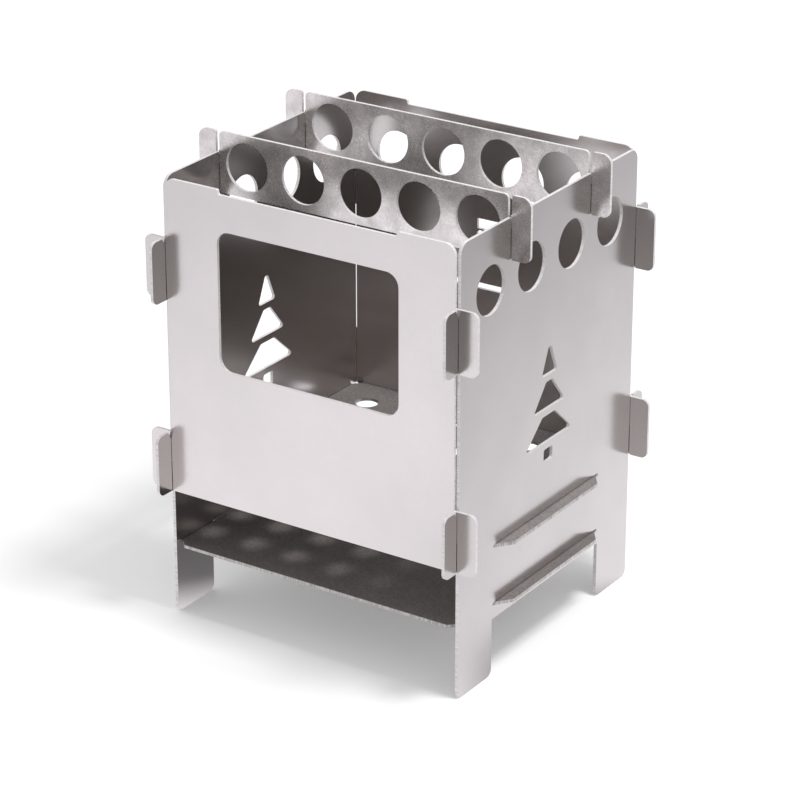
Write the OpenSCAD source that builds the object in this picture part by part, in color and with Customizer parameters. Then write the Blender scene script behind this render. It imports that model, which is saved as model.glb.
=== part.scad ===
// Hobo stove: eight flat steel sheets that plug together into a wood burning box.
// The front and back plates hang on ears of the two side plates, the grate and the
// ash plate sit in slots of the side plates, and two bars across the top carry a pot.
// Origin: on the ground under the middle of the stove. X runs along the front,
// Y from front to back, Z up.

/* [Sheet steel] */
// Thickness of the sheet that every piece is cut from
sheet_t = 1; // [0.8:0.1:1.4]
// Play between two sheets that plug into each other
play = 0.15; // [0.1:0.05:0.3]
// Diameter of the air holes in the plates and the pot bars
hole_d = 15; // [10:0.5:17]
// Radius of the panels' top corners
panel_r = 3.5; // [1:0.5:6]

/* [Fire box] */
// Width of the front and back panels, which is the room between the side plates
panel_w = 100; // [96:1:115]
// Width of the side panels, without their ears
side_w = 97.1; // [94:0.1:112]
// Height of the top edges of the front, back and side plates
panel_top = 141; // [138:1:160]
// Height of the bottom edges of the front and back panels
panel_bottom = 41.3; // [30:0.1:46]
// Depth of the air holes' centres under the top edges
hole_drop = 18.4; // [14:0.1:24]

/* [Ears] */
// Reach of an ear beyond the edge of its panel
ear_l = 7.5; // [5:0.1:12]
// Height of an ear
ear_h = 19.4; // [12:0.1:28]
// Height from a lower ear to the upper ear of the same edge
ear_pitch = 61.6; // [50:0.1:70]
// Radius of the ears' outer corners
ear_r = 2.2; // [0.5:0.1:3]
// Width of the sloping lead-in at the mouth of a side plate's ear
lead_w = 1.1; // [0.5:0.1:2]
// Depth of that lead-in
lead_h = 2.6; // [1:0.1:5]

/* [Front and back plates] */
// Width of the shallow recess in the top edge
recess_w = 61.4; // [40:0.1:80]
// Depth of that recess
recess_d = 1.5; // [0.5:0.1:3]
// Radius of the recess's corners
recess_r = 0.7; // [0.2:0.1:1.5]
// Width of the feeding window in the front plate
window_w = 62.7; // [40:0.1:80]
// Height of the feeding window
window_h = 43.7; // [25:0.1:60]
// Depth of the window's top under the top edge
window_drop = 12.5; // [8:0.1:20]
// Radius of the window's corners
window_r = 4.3; // [1:0.1:8]
// Number of air holes in the back plate
back_holes = 4; // [2:1:4]
// Distance between the back plate's air holes
back_pitch = 22.75; // [18:0.05:25]

/* [Side plates] */
// Number of air holes in each side plate
side_holes = 4; // [2:1:4]
// Distance between the side plates' air holes
side_pitch = 22.05; // [19:0.05:24]
// Width of each leg
leg_w = 18.2; // [10:0.1:18.3]
// Height of the gap between the legs
leg_h = 18.3; // [8:0.1:20]
// Radius of the feet's corners
foot_r = 2.4; // [0.5:0.1:4]
// Length of the slots that hold the grate and the ash plate
tray_slot_l = 60; // [40:0.5:70]

/* [Tree cut-out] */
// Width of the tree that is cut out of each side plate
tree_w = 27; // [16:1:36]
// Height of the tree with its trunk
tree_h = 36.5; // [24:0.5:44]
// Height of the trunk's foot above the grate's slot
tree_rise = 16.8; // [8:0.1:20]
// Number of tiers of branches
tree_tiers = 3; // [2:1:4]
// Height of the bridges of steel between the tiers
tree_bridge = 2; // [1.5:0.1:3]
// Width of the trunk
trunk_w = 5; // [3:0.5:8]
// Height of the trunk
trunk_h = 4.2; // [2:0.1:6]

/* [Pot bars] */
// Height of a pot bar
bar_h = 19.3; // [17.5:0.1:21]
// Height of the bars' tops above the plates' top edges
bar_rise = 6.5; // [5:0.1:10]
// Depth of the notches that the bars sit in
notch_d = 3.2; // [1.5:0.1:5]
// Height of the neck between a bar's upper and lower slots
neck_h = 2.6; // [1.5:0.1:5]
// Number of air holes in each bar
bar_holes = 5; // [3:1:5]
// Distance between a bar's air holes
bar_pitch = 20.05; // [18:0.05:20.5]

/* [Grate and ash plate] */
// Height of the grate's underside
grate_z = 41.05; // [36:0.05:44]
// Height of the ash plate's underside
ash_z = 22.3; // [21:0.1:28]
// Diameter of the grate's holes
grate_hole_d = 7.5; // [3:0.5:11]
// Number of holes along the grate's width and along its depth
grate_holes = 6; // [3:1:6]
// Distance between the grate's holes along its width
grate_pitch_x = 15; // [12:0.1:16]
// Distance between the grate's holes along its depth
grate_pitch_y = 14.3; // [12:0.1:15.5]
// Reach of the tabs beyond the edges of the grate and the ash plate
tab_l = 4.6; // [3:0.1:8]
// Slant of each side of a tab, from its root to its tip
tab_slant = 6.2; // [2:0.1:10]
// Cut at the corners of the grate and the ash plate
tray_cut = 2.8; // [0.5:0.1:5]

/* [Hidden] */
// True circles for the holes
$fn = 64;
// Number of straight steps in each rounded corner
corner_steps = 10;
// Most that a rounded corner may take of the shorter of its two edges
corner_share = 0.49;
// Overrun of every cut beyond the sheet
over = 1;

// Small radii
slot_mouth_r = 0.6;
bar_top_r = 3;
bar_inner_r = 1.4;
tree_r = 0.8;
tab_r = 0.8;

// Plain openings in the middle of the back plate
back_slot_w = 9.4;
back_slot_h = 3.4;
back_slot_drop = 35.2;
back_pin_d = 2.6;
back_pin_pitch = 7.1;
back_pin_drop = 38.7;
back_rail_w = 30;
back_rail_h = 2;
back_rail_drop = 55.7;

// Half widths and faces of the box
panel_half = panel_w / 2;
side_half = side_w / 2;
slot_w = sheet_t + play * 2;
side_inner_x = panel_half + play;
front_inner_y = side_half + play;
across_tip = panel_half + ear_l;
side_tip = side_half + ear_l;

// Heights
hole_z = panel_top - hole_drop;
low_ear = panel_bottom;
high_ear = low_ear + ear_pitch;
window_top = panel_top - window_drop;
seat_z = panel_top - notch_d;
bar_top = panel_top + bar_rise;
bar_bottom = bar_top - bar_h;

// Grate and ash plate
tray_slot_h = sheet_t + play * 2;
tab_root_w = tray_slot_l - play;
tab_tip_w = tab_root_w - tab_slant * 2;

// The bars sit half way between the outer pairs of the side plates' air holes
bar_y = side_pitch;

// Tree
tree_bottom = grate_z + tree_rise;
tier_h = (tree_h - trunk_h) / tree_tiers - tree_bridge;
tier_step = tier_h + tree_bridge;
// Top width of a tier, as a share of the foot of the tier above it
tier_top_share = 0.4;

// Outlines: each corner is [x, y, radius], listed anticlockwise

function unit(v) = v / norm(v);

function turned(p, a) = [p.x * cos(a) - p.y * sin(a), p.x * sin(a) + p.y * cos(a)];

// One corner of an outline as points along an arc, no wider than its two edges allow
function corner_points(before, here, after) =
    let (
        p = [here.x, here.y],
        back = [before.x, before.y] - p,
        on = [after.x, after.y] - p,
        half = acos(unit(back) * unit(on)) / 2,
        room = min(norm(back), norm(on)) * corner_share,
        reach = min(here.z / tan(half), room),
        start = p + unit(back) * reach,
        centre = p + unit(unit(back) + unit(on)) * reach / cos(half),
        sweep = sign(cross(on, back)) * (180 - half * 2)
    )
    reach == 0 ? [p] : [for (k = [0 : corner_steps]) centre + turned(start - centre, sweep * k / corner_steps)];

function outline_points(corners) =
    let (n = len(corners))
    [for (k = [0 : n - 1]) each corner_points(corners[(k + n - 1) % n], corners[k], corners[(k + 1) % n])];

// The right half's corners, from the bottom up, and the same corners mirrored on the way down
function both_halves(corners) = [
    each corners,
    for (k = [len(corners) - 1 : -1 : 0]) [-corners[k].x, corners[k].y, corners[k].z]
];

function box_corners(w, low, high, r) = both_halves([[w / 2, low, r], [w / 2, high, r]]);

// Places of a row of things, spread evenly about the middle
function row_places(count, pitch) = [for (k = [0 : count - 1]) (k - (count - 1) / 2) * pitch];

module outline(corners) polygon(outline_points(corners));

module hole_row(count, pitch, height) {
    for (place = row_places(count, pitch)) translate([place, height]) circle(d = hole_d);
}

// Sheets that stand across the stove, that stand from front to back, and that lie flat

module sheet_across(back_face_y) {
    translate([0, back_face_y, 0]) rotate([90, 0, 0]) linear_extrude(sheet_t) children();
}

module sheet_along(inner_face_x) {
    translate([inner_face_x, 0, 0]) rotate([90, 0, 90]) linear_extrude(sheet_t) children();
}

module sheet_flat(underside_z) {
    translate([0, 0, underside_z]) linear_extrude(sheet_t) children();
}

// Front and back plates

// An ear whose slot opens downwards, so that it hangs in a side plate's ear
function hanging_ear(low) = [
    [panel_half, low + ear_h / 2, 0],
    [panel_half + slot_w, low + ear_h / 2, 0],
    [panel_half + slot_w, low, slot_mouth_r],
    [across_tip, low, ear_r],
    [across_tip, low + ear_h, ear_r],
    [panel_half, low + ear_h, 0]
];

module across_outline() {
    outline(both_halves([
        [panel_half, panel_bottom, slot_mouth_r],
        each hanging_ear(low_ear),
        each hanging_ear(high_ear),
        [panel_half, panel_top, panel_r],
        [recess_w / 2, panel_top, recess_r],
        [recess_w / 2, panel_top - recess_d, recess_r]
    ]));
}

module feeding_window() {
    outline(box_corners(window_w, window_top - window_h, window_top, window_r));
}

module front_plate() {
    color("#dcd6d5")
        sheet_across(-front_inner_y)
            difference() {
                across_outline();
                feeding_window();
            }
}

// A short slot over two pin holes, and a long narrow slot below them
module back_openings() {
    slot_top = panel_top - back_slot_drop + back_slot_h / 2;
    rail_top = panel_top - back_rail_drop + back_rail_h / 2;
    outline(box_corners(back_slot_w, slot_top - back_slot_h, slot_top, 0));
    outline(box_corners(back_rail_w, rail_top - back_rail_h, rail_top, back_rail_h / 2));
    for (side = [-1, 1])
        translate([side * back_pin_pitch / 2, panel_top - back_pin_drop]) circle(d = back_pin_d);
}

module back_plate() {
    color("#6b6462")
        sheet_across(front_inner_y + sheet_t)
            difference() {
                across_outline();
                hole_row(back_holes, back_pitch, hole_z);
                back_openings();
            }
}

// Side plates

// An ear whose slot opens upwards, with a sloping lead-in at its mouth
function carrying_ear(low) = [
    [side_half, low, 0],
    [side_tip, low, ear_r],
    [side_tip, low + ear_h, ear_r],
    [side_half + slot_w + lead_w, low + ear_h, 0],
    [side_half + slot_w, low + ear_h - lead_h, 0],
    [side_half + slot_w, low + ear_h / 2, 0],
    [side_half, low + ear_h / 2, 0]
];

module side_outline() {
    outline(both_halves([
        [side_half - leg_w, leg_h, 0],
        [side_half - leg_w, 0, foot_r],
        [side_half, 0, foot_r],
        each carrying_ear(low_ear),
        each carrying_ear(high_ear),
        [side_half, panel_top, panel_r],
        [bar_y + slot_w / 2, panel_top, 0],
        [bar_y + slot_w / 2, seat_z, 0],
        [bar_y - slot_w / 2, seat_z, 0],
        [bar_y - slot_w / 2, panel_top, 0]
    ]));
}

module tray_slot(underside_z) {
    outline(box_corners(tray_slot_l, underside_z, underside_z + tray_slot_h, tray_slot_h / 2));
}

// Tiers of branches that widen downwards, over a short trunk
module tree() {
    outline(box_corners(trunk_w, tree_bottom, tree_bottom + trunk_h, tree_r));
    for (tier = [1 : tree_tiers]) {
        foot = tree_w / 2 * tier / tree_tiers;
        top = max(tree_w / 2 * (tier - 1) / tree_tiers * tier_top_share, tree_r);
        low = tree_bottom + tree_h - tier * tier_step + tree_bridge;
        outline(both_halves([[foot, low, tree_r], [top, low + tier_h, tree_r]]));
    }
}

module side_plate() {
    sheet_along(side_inner_x)
        difference() {
            side_outline();
            hole_row(side_holes, side_pitch, hole_z);
            tray_slot(grate_z);
            tray_slot(ash_z);
            tree();
        }
}

module right_plate() {
    color("#bdb5b7") side_plate();
}

module left_plate() {
    color("#8d8684") mirror([1, 0, 0]) side_plate();
}

// Pot bars

// The lower slots straddle the side plates, and the upper slots lighten the ends
module pot_bar() {
    difference() {
        outline(both_halves([
            [panel_half, bar_bottom, slot_mouth_r],
            [panel_half, seat_z, 0],
            [panel_half + slot_w, seat_z, 0],
            [panel_half + slot_w, bar_bottom, slot_mouth_r],
            [across_tip, bar_bottom, ear_r],
            [across_tip, bar_top, bar_top_r],
            [panel_half + slot_w, bar_top, slot_mouth_r],
            [panel_half + slot_w, seat_z + neck_h, 0],
            [panel_half, seat_z + neck_h, 0],
            [panel_half, bar_top, bar_inner_r]
        ]));
        hole_row(bar_holes, bar_pitch, bar_top - bar_h / 2);
    }
}

module front_pot_bar() {
    color("#8f8a8c") sheet_across(-bar_y + sheet_t / 2) pot_bar();
}

module rear_pot_bar() {
    color("#a39c9d") sheet_across(bar_y + sheet_t / 2) pot_bar();
}

// Grate and ash plate

// A flat plate with a tab on each side that passes through a side plate's slot
module tray_outline() {
    outline(both_halves([
        [panel_half - tray_cut, -side_half, 0],
        [panel_half, tray_cut - side_half, 0],
        [panel_half, -tab_root_w / 2, 0],
        [panel_half + tab_l, -tab_tip_w / 2, tab_r],
        [panel_half + tab_l, tab_tip_w / 2, tab_r],
        [panel_half, tab_root_w / 2, 0],
        [panel_half, side_half - tray_cut, 0],
        [panel_half - tray_cut, side_half, 0]
    ]));
}

module fire_grate() {
    color("#787371")
        sheet_flat(grate_z)
            difference() {
                tray_outline();
                for (x = row_places(grate_holes, grate_pitch_x), y = row_places(grate_holes, grate_pitch_y))
                    translate([x, y]) circle(d = grate_hole_d);
            }
}

module ash_plate() {
    color("#6f6a68") sheet_flat(ash_z) tray_outline();
}

front_plate();
back_plate();
left_plate();
right_plate();
front_pot_bar();
rear_pot_bar();
fire_grate();
ash_plate();
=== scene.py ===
import math

import bmesh
import bpy
from mathutils import Euler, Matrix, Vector

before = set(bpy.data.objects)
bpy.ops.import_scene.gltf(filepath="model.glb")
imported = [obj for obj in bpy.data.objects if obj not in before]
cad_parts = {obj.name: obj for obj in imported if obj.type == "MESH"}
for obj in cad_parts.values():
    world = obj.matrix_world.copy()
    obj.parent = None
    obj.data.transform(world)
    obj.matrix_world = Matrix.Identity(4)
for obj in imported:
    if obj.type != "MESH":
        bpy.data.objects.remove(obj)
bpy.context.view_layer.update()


# Front and back plates
# Laser-cut from 1 mm stainless steel sheet. They hang on the ears of the side plates by slots
# in their own ears, with no screw or weld.

MM = 0.001


def linear(hex_colour):
    """An sRGB colour such as "d1ccc9" as the linear RGBA that sockets take, by the sRGB formula."""
    channels = [int(hex_colour[k:k + 2], 16) / 255 for k in (0, 2, 4)]
    return (*[c / 12.92 if c <= 0.04045 else ((c + 0.055) / 1.055) ** 2.4 for c in channels], 1.0)


def add_node(tree, kind, inputs=None, **settings):
    """Adds a node, sets its properties, and gives each input a value or a link, by name or by number."""
    made = tree.nodes.new(kind)
    for name, value in settings.items():
        setattr(made, name, value)
    for name, value in (inputs or {}).items():
        if isinstance(value, bpy.types.NodeSocket):
            tree.links.new(value, made.inputs[name])
        else:
            made.inputs[name].default_value = value
    return made


# Cold-rolled stainless steel in its mill finish: the polished rolls leave a soft, faintly
# cloudy mirror with hardly any grain. Chromium steel is a little warm in tone.
FACE_STEEL = linear("d1ccc9")
FACE_STEEL_CLOUD = linear("c2bebb")
FACE_ROUGHNESS = 0.2
CLOUD_SIZE = 22 * MM
GRAIN_WIDTH = 0.5 * MM      # the real grain is near 0.05 mm, drawn coarser so that it shows
GRAIN_LENGTH = 25 * MM
SPECK_SIZE = 0.5 * MM       # the real crystals are near 0.1 mm, drawn coarser so that they show
LEAST_ADDED_ROUGHNESS = 0.02
ADDED_ROUGHNESS_PER_SPECKS = 0.15

# The cut edges: the laser's melt leaves them pale and matt, with fine ribs across the sheet
EDGE_STEEL = linear("f4f1f1")
EDGE_STEEL_RIB = linear("cfcacb")
EDGE_METAL = 0.15
EDGE_ROUGHNESS = 0.4
RIB_SPACING = 0.3 * MM

# Where the surface turns more than 60 degrees from the sheet's flat side, it is a cut edge
COSINE_OF_EDGE = 0.5

# A noise pattern's values seldom leave this range
NOISE_LOW = 0.3
NOISE_HIGH = 0.7

# Each piece shows another stretch of a pattern: its seed times these, along X, Y and Z
SEED_STEPS = (1, 2.3, 3.1)

# How far the grain and the ribs stand out
RELIEF_DEPTH = 0.02 * MM
GRAIN_STRENGTH = 0.05
RIB_STRENGTH = 0.3


def sheet_steel(name, across, along, seed, face=FACE_STEEL, dull=FACE_STEEL_CLOUD,
                clouds=0.4, cloud_size=CLOUD_SIZE, specks=0.1, metal=1.0, roughness=FACE_ROUGHNESS,
                edge=EDGE_STEEL, rib=EDGE_STEEL_RIB):
    """Laser-cut sheet: its thickness lies along axis number across, and its grain along axis number along.

    clouds and specks say how far the face turns from its colour to the dull one.
    """
    material = bpy.data.materials.new(name)
    material.use_nodes = True
    tree = material.node_tree
    tree.nodes.clear()
    place = add_node(tree, "ShaderNodeTexCoord")

    # Soft patterns by the size of their marks along X, Y and Z, with 0 for no change on that axis
    grain_sizes = [GRAIN_WIDTH] * 3
    grain_sizes[along] = GRAIN_LENGTH
    grain_sizes[across] = 0
    rib_sizes = [RIB_SPACING] * 3
    rib_sizes[across] = 0
    pattern = {}
    for mark, sizes, detail, fineness in (
        ("grain", grain_sizes, 2, 0.5),
        ("cloud", [cloud_size] * 3, 3, 0.5),
        ("rib", rib_sizes, 2, 0.6),
    ):
        scaled = add_node(tree, "ShaderNodeMapping", {
            "Vector": place.outputs["Object"],
            "Location": [seed * step for step in SEED_STEPS],
            "Scale": [1 / size if size else 0 for size in sizes],
        })
        pattern[mark] = add_node(tree, "ShaderNodeTexNoise", {
            "Vector": scaled.outputs["Vector"], "Scale": 1.0, "Detail": detail, "Roughness": fineness,
        }).outputs["Fac"]
    crystals = add_node(tree, "ShaderNodeTexVoronoi", {
        "Vector": place.outputs["Object"], "Scale": 1 / SPECK_SIZE,
    })
    shade = add_node(tree, "ShaderNodeSeparateColor", {"Color": crystals.outputs["Color"]}).outputs["Red"]

    # 1 on the cut edges, which don't face along the sheet's thickness, and 0 on its flat sides
    normal = add_node(tree, "ShaderNodeSeparateXYZ", {"Vector": place.outputs["Normal"]})
    facing = add_node(tree, "ShaderNodeMath", {0: normal.outputs["XYZ"[across]]}, operation="ABSOLUTE")
    is_edge = add_node(tree, "ShaderNodeMath", {
        0: facing.outputs["Value"], 1: COSINE_OF_EDGE,
    }, operation="LESS_THAN").outputs["Value"]

    # Face and edge colours. A Mix node's colours are its inputs 6 and 7 and its output 2
    cloudiness = add_node(tree, "ShaderNodeMapRange", {
        "Value": pattern["cloud"], "From Min": NOISE_LOW, "From Max": NOISE_HIGH, "To Max": clouds,
    })
    cloudy = add_node(tree, "ShaderNodeMix", {
        0: cloudiness.outputs["Result"], 6: face, 7: dull,
    }, data_type="RGBA")
    speckling = add_node(tree, "ShaderNodeMath", {0: shade, 1: specks}, operation="MULTIPLY")
    speckled = add_node(tree, "ShaderNodeMix", {
        0: speckling.outputs["Value"], 6: cloudy.outputs[2], 7: dull,
    }, data_type="RGBA")
    ribbing = add_node(tree, "ShaderNodeMapRange", {
        "Value": pattern["rib"], "From Min": NOISE_LOW, "From Max": NOISE_HIGH,
    })
    ribbed = add_node(tree, "ShaderNodeMix", {
        0: ribbing.outputs["Result"], 6: rib, 7: edge,
    }, data_type="RGBA")
    colour = add_node(tree, "ShaderNodeMix", {
        0: is_edge, 6: speckled.outputs[2], 7: ribbed.outputs[2],
    }, data_type="RGBA")

    # The other properties go from the face's value to the edge's in the same way
    roughest = roughness + LEAST_ADDED_ROUGHNESS + ADDED_ROUGHNESS_PER_SPECKS * specks
    face_roughness = add_node(tree, "ShaderNodeMapRange", {
        "Value": shade, "To Min": roughness, "To Max": roughest,
    })
    by_surface = {}
    for what, on_face, on_edge in (
        ("height", pattern["grain"], pattern["rib"]),
        ("strength", GRAIN_STRENGTH, RIB_STRENGTH),
        ("metal", metal, EDGE_METAL),
        ("roughness", face_roughness.outputs["Result"], EDGE_ROUGHNESS),
    ):
        by_surface[what] = add_node(tree, "ShaderNodeMapRange", {
            "Value": is_edge, "To Min": on_face, "To Max": on_edge,
        }).outputs["Result"]
    relief = add_node(tree, "ShaderNodeBump", {
        "Height": by_surface["height"], "Distance": RELIEF_DEPTH, "Strength": by_surface["strength"],
    })
    shader = add_node(tree, "ShaderNodeBsdfPrincipled", {
        "Base Color": colour.outputs[2],
        "Metallic": by_surface["metal"],
        "Roughness": by_surface["roughness"],
        "Normal": relief.outputs["Normal"],
    })
    add_node(tree, "ShaderNodeOutputMaterial", {"Surface": shader.outputs["BSDF"]})
    return material


def finish_with(node_name, material):
    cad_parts[node_name].material_slots[0].material = material


finish_with("front_plate", sheet_steel("front_plate_mill_finish_steel", across=1, along=2, seed=1.7))
finish_with("back_plate", sheet_steel("back_plate_mill_finish_steel", across=1, along=2, seed=5.2))


# Side plates
# The same mill-finish sheet. They stand on their own legs and carry the whole stove: front and
# back on their ears, the grate and ash plate in their slots, and the pot bars in their notches.

finish_with("left_plate", sheet_steel("left_plate_mill_finish_steel", across=0, along=2, seed=9.4))
finish_with("right_plate", sheet_steel("right_plate_mill_finish_steel", across=0, along=2, seed=13.1))


# Pot bars
# Two narrow bars of 1 mm stainless sheet, straddling the side plates in notches. The pot
# stands on their top edges, and the air passes through their holes.

# Stainless steel tumbled to take off the burrs: a brighter, frosted face with a fine speckle
BAR_STEEL = linear("f3edea")
BAR_STEEL_SPECK = linear("b2adab")
BAR_CLOUDS = 0.65
BAR_CLOUD_SIZE = 5 * MM
BAR_SPECKS = 0.2
BAR_METAL = 0.85
BAR_ROUGHNESS = 0.26

for bar, seed in (("front_pot_bar", 17.9), ("rear_pot_bar", 21.6)):
    finish_with(bar, sheet_steel(
        bar + "_tumbled_steel", across=1, along=0, seed=seed, face=BAR_STEEL, dull=BAR_STEEL_SPECK,
        clouds=BAR_CLOUDS, cloud_size=BAR_CLOUD_SIZE, specks=BAR_SPECKS,
        metal=BAR_METAL, roughness=BAR_ROUGHNESS,
    ))


# Grate and ash plate
# Two flat plates of 1 mm stainless sheet whose tabs pass through slots of the side plates. The
# upper one has round holes for the air, and the lower one catches the ash.

# Pickled stainless steel: the acid leaves a dark matt grey that scatters light, and no mirror.
# The grate and the ash plate are one steel: the grate's lighter colours are painted light, and the ash
# plate's darker colours are painted shade from the grate above it.
GRATE_STEEL_WITH_PAINTED_LIGHT = linear("b8b2b0")
GRATE_SPECK_WITH_PAINTED_LIGHT = linear("868180")
ASH_PLATE_STEEL_WITH_PAINTED_SHADE = linear("a6a09e")
ASH_PLATE_SPECK_WITH_PAINTED_SHADE = linear("7a7371")
TRAY_CLOUDS = 0.3
TRAY_SPECKS = 0.6
TRAY_METAL = 0.5
TRAY_ROUGHNESS = 0.38
TRAY_EDGE = linear("d6d1d0")
TRAY_EDGE_RIB = linear("928d8b")

# Painted light on the grate and painted shade on the ash plate: lit and shaded copies of one steel
for tray, seed, steel, speck in (
    ("fire_grate", 25.3, GRATE_STEEL_WITH_PAINTED_LIGHT, GRATE_SPECK_WITH_PAINTED_LIGHT),
    ("ash_plate", 29.8, ASH_PLATE_STEEL_WITH_PAINTED_SHADE, ASH_PLATE_SPECK_WITH_PAINTED_SHADE),
):
    finish_with(tray, sheet_steel(
        tray + "_pickled_steel", across=2, along=0, seed=seed, face=steel, dull=speck,
        clouds=TRAY_CLOUDS, specks=TRAY_SPECKS, metal=TRAY_METAL, roughness=TRAY_ROUGHNESS,
        edge=TRAY_EDGE, rib=TRAY_EDGE_RIB,
    ))


# Studio
# White paper under a small soft lamp, overhead and to the right, with a white backdrop behind.
# Steel shows little but what it mirrors, so the paper's brightness in the steel is set here too.

FLOOR_HALF = 1.6
PAPER = linear("f4f4f4")
WHITE = linear("ffffff")

# White that is added for the camera, more of it far from the stove, so that the shadow stays.
# The two distances are in metres from the stove's middle.
WHITE_NEAR = 0.2
WHITE_FAR = 0.55
NEAR_DISTANCE = 0.2
FAR_DISTANCE = 0.7

# The paper as the steel mirrors it is painted light, in cool daylight: brightest in front,
# dimmer to the right and far off, with a painted shadow under the stove. Each step is a place on
# the way, from 0 to 1, and the brightness there. The pool's way leads outwards from the stove's middle.
LIT_PAPER = linear("f9f8ff")
MIRROR_SHARE = 0.85
LIT_LEVEL = 1.52
TO_THE_DIM_SIDE = (1, -0.3, 0)
DIMMING_FROM = -0.2
DIMMING_TO = 0.35
DIMMING_STEPS = [(0, 0.85), (0.33, 0.97), (0.48, 0.8), (0.65, 0.46), (1, 0.12)]
POOL_REACH = 0.45
POOL_AND_SHADOW_STEPS = [(0, 0.1), (0.11, 0.16), (0.155, 1), (0.44, 1), (1, 0.86)]


def floor_paper():
    """White paper with a matt surface of its own, and the light that the camera and the steel see on it."""
    material = bpy.data.materials.new("floor_paper")
    material.use_nodes = True
    tree = material.node_tree
    tree.nodes.clear()
    ray = add_node(tree, "ShaderNodeLightPath")
    place = add_node(tree, "ShaderNodeTexCoord")
    paper = add_node(tree, "ShaderNodeBsdfDiffuse", {"Color": PAPER})
    sideways = add_node(tree, "ShaderNodeVectorMath", {
        0: place.outputs["Object"], 1: TO_THE_DIM_SIDE,
    }, operation="DOT_PRODUCT")
    dimming = add_node(tree, "ShaderNodeMapRange", {
        "Value": sideways.outputs["Value"], "From Min": DIMMING_FROM, "From Max": DIMMING_TO,
    })
    distance = add_node(tree, "ShaderNodeVectorMath", {0: place.outputs["Object"]}, operation="LENGTH")
    outwards = add_node(tree, "ShaderNodeMapRange", {
        "Value": distance.outputs["Value"], "From Max": POOL_REACH,
    })
    strength = LIT_LEVEL
    # Painted light and painted shadow: the glow that the steel mirrors fades across the paper and goes dark
    # under the stove
    for way, steps in ((dimming, DIMMING_STEPS), (outwards, POOL_AND_SHADOW_STEPS)):
        ramp = add_node(tree, "ShaderNodeValToRGB", {"Fac": way.outputs["Result"]})
        while len(ramp.color_ramp.elements) < len(steps):
            ramp.color_ramp.elements.new(0.5)
        for stop, (position, level) in zip(ramp.color_ramp.elements, steps):
            stop.position = position
            stop.color = (level, level, level, 1)
        strength = add_node(tree, "ShaderNodeMath", {
            0: ramp.outputs["Color"], 1: strength,
        }, operation="MULTIPLY").outputs["Value"]
    lit = add_node(tree, "ShaderNodeEmission", {"Color": LIT_PAPER, "Strength": strength})
    in_mirrors = add_node(tree, "ShaderNodeMath", {
        0: ray.outputs["Is Glossy Ray"], 1: MIRROR_SHARE,
    }, operation="MULTIPLY")
    mirrored = add_node(tree, "ShaderNodeMixShader", {
        0: in_mirrors.outputs["Value"], 1: paper.outputs["BSDF"], 2: lit.outputs["Emission"],
    })
    whitening = add_node(tree, "ShaderNodeMapRange", {
        "Value": distance.outputs["Value"], "From Min": NEAR_DISTANCE, "From Max": FAR_DISTANCE,
        "To Min": WHITE_NEAR, "To Max": WHITE_FAR,
    })
    to_camera = add_node(tree, "ShaderNodeMath", {
        0: ray.outputs["Is Camera Ray"], 1: whitening.outputs["Result"],
    }, operation="MULTIPLY")
    white = add_node(tree, "ShaderNodeEmission", {"Color": WHITE, "Strength": to_camera.outputs["Value"]})
    both = add_node(tree, "ShaderNodeAddShader", {
        0: mirrored.outputs["Shader"], 1: white.outputs["Emission"],
    })
    add_node(tree, "ShaderNodeOutputMaterial", {"Surface": both.outputs["Shader"]})
    return material


floor_mesh = bmesh.new()
bmesh.ops.create_grid(floor_mesh, x_segments=1, y_segments=1, size=FLOOR_HALF)
floor_data = bpy.data.meshes.new("floor")
floor_mesh.to_mesh(floor_data)
floor_mesh.free()
floor = bpy.data.objects.new("floor", floor_data)
bpy.context.scene.collection.objects.link(floor)
floor_data.materials.append(floor_paper())

# The room: soft light from all round, white for the camera, and for the steel a backdrop
# behind the stove that fades to a darker room on the camera's side
ROOM_LIGHT = 0.65
BACKDROP = 0.9
DARK_ROOM = 0.3
BACKDROP_SIDE = (-0.8, 0.6, 0.1)
FADE_FROM = -0.3
FADE_TO = 0.6

world = bpy.data.worlds.new("studio")
bpy.context.scene.world = world
world.use_nodes = True
room = world.node_tree
room.nodes.clear()
ray = add_node(room, "ShaderNodeLightPath")
direction = add_node(room, "ShaderNodeTexCoord").outputs["Generated"]
towards_backdrop = add_node(room, "ShaderNodeVectorMath", {
    0: direction, 1: Vector(BACKDROP_SIDE).normalized(),
}, operation="DOT_PRODUCT")
backdrop_level = add_node(room, "ShaderNodeMapRange", {
    "Value": towards_backdrop.outputs["Value"], "From Min": FADE_FROM, "From Max": FADE_TO,
    "To Min": DARK_ROOM, "To Max": BACKDROP,
})
seen_or_through = add_node(room, "ShaderNodeMath", {
    0: ray.outputs["Is Camera Ray"], 1: ray.outputs["Is Transmission Ray"],
}, operation="MAXIMUM")
room_light = add_node(room, "ShaderNodeBackground", {"Color": WHITE, "Strength": ROOM_LIGHT})
backdrop = add_node(room, "ShaderNodeBackground", {
    "Color": LIT_PAPER, "Strength": backdrop_level.outputs["Result"],
})
white = add_node(room, "ShaderNodeBackground", {"Color": WHITE, "Strength": 1.0})
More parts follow.
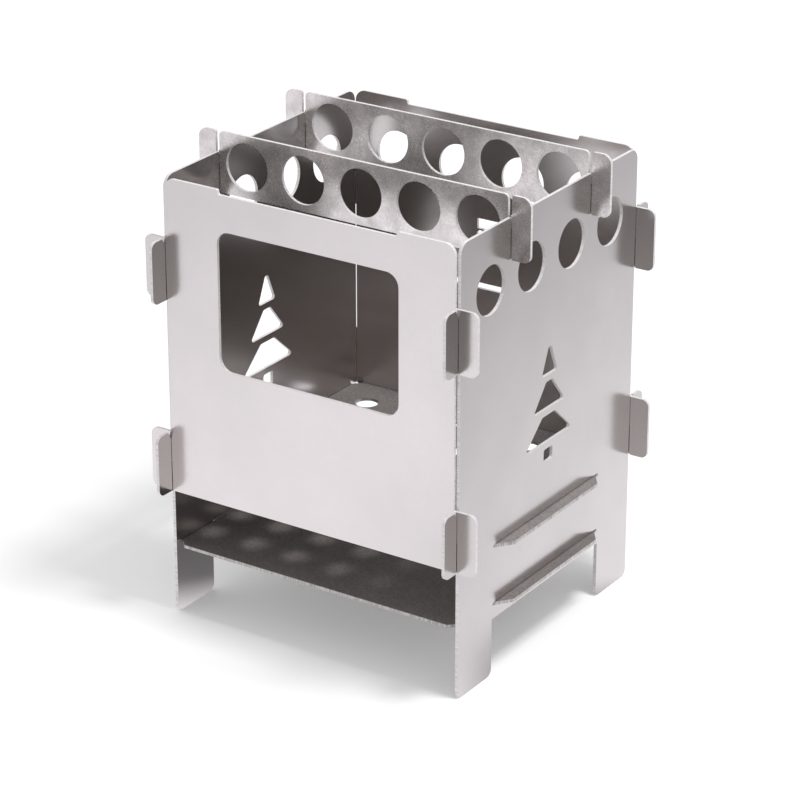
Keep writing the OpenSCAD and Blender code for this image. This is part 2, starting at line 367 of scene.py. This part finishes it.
for_steel = add_node(room, "ShaderNodeMixShader", {
    0: ray.outputs["Is Glossy Ray"], 1: room_light.outputs["Background"], 2: backdrop.outputs["Background"],
})
for_all = add_node(room, "ShaderNodeMixShader", {
    0: seen_or_through.outputs["Value"], 1: for_steel.outputs["Shader"], 2: white.outputs["Background"],
})
add_node(room, "ShaderNodeOutputWorld", {"Surface": for_all.outputs["Shader"]})

# The lamp stands where the light spots on the ash plate say: overhead, about 22 degrees to the right
LAMP_PLACE = (0.34, 0.0, 0.9)
LAMP_TARGET = (0, 0, 0.07)
LAMP_POWER = 4.5
LAMP_SIZE = 0.2

lamp = bpy.data.lights.new("overhead_lamp", "AREA")
lamp.shape = "SQUARE"
lamp.size = LAMP_SIZE
lamp.energy = LAMP_POWER
holder = bpy.data.objects.new("overhead_lamp", lamp)
holder.location = LAMP_PLACE
holder.rotation_euler = (Vector(LAMP_TARGET) - Vector(LAMP_PLACE)).to_track_quat("-Z", "Y").to_euler()
bpy.context.scene.collection.objects.link(holder)


# Camera
# It stands where the photograph was taken from: in front, to the right and above, with a
# long lens. It is aimed straight at the stove, without shift.

PHOTO_SIDE = 800
FOCAL_PIXELS = 3204
SENSOR_WIDTH = 36
CAMERA_PLACE = (0.4889, -0.7392, 0.4514)
CAMERA_DOWN = 23.56     # degrees below level
CAMERA_TURN = 33.54     # degrees from straight in front, towards the right
NEAREST_SEEN = 0.05
FARTHEST_SEEN = 20

camera_data = bpy.data.cameras.new("camera")
camera_data.sensor_width = SENSOR_WIDTH
camera_data.lens = SENSOR_WIDTH * FOCAL_PIXELS / PHOTO_SIDE
camera_data.clip_start = NEAREST_SEEN
camera_data.clip_end = FARTHEST_SEEN
camera = bpy.data.objects.new("camera", camera_data)
camera.location = CAMERA_PLACE
camera.rotation_euler = Euler((math.radians(90 - CAMERA_DOWN), 0, math.radians(CAMERA_TURN)))
bpy.context.scene.collection.objects.link(camera)
bpy.context.scene.camera = camera
bpy.context.scene.view_settings.view_transform = "Standard"
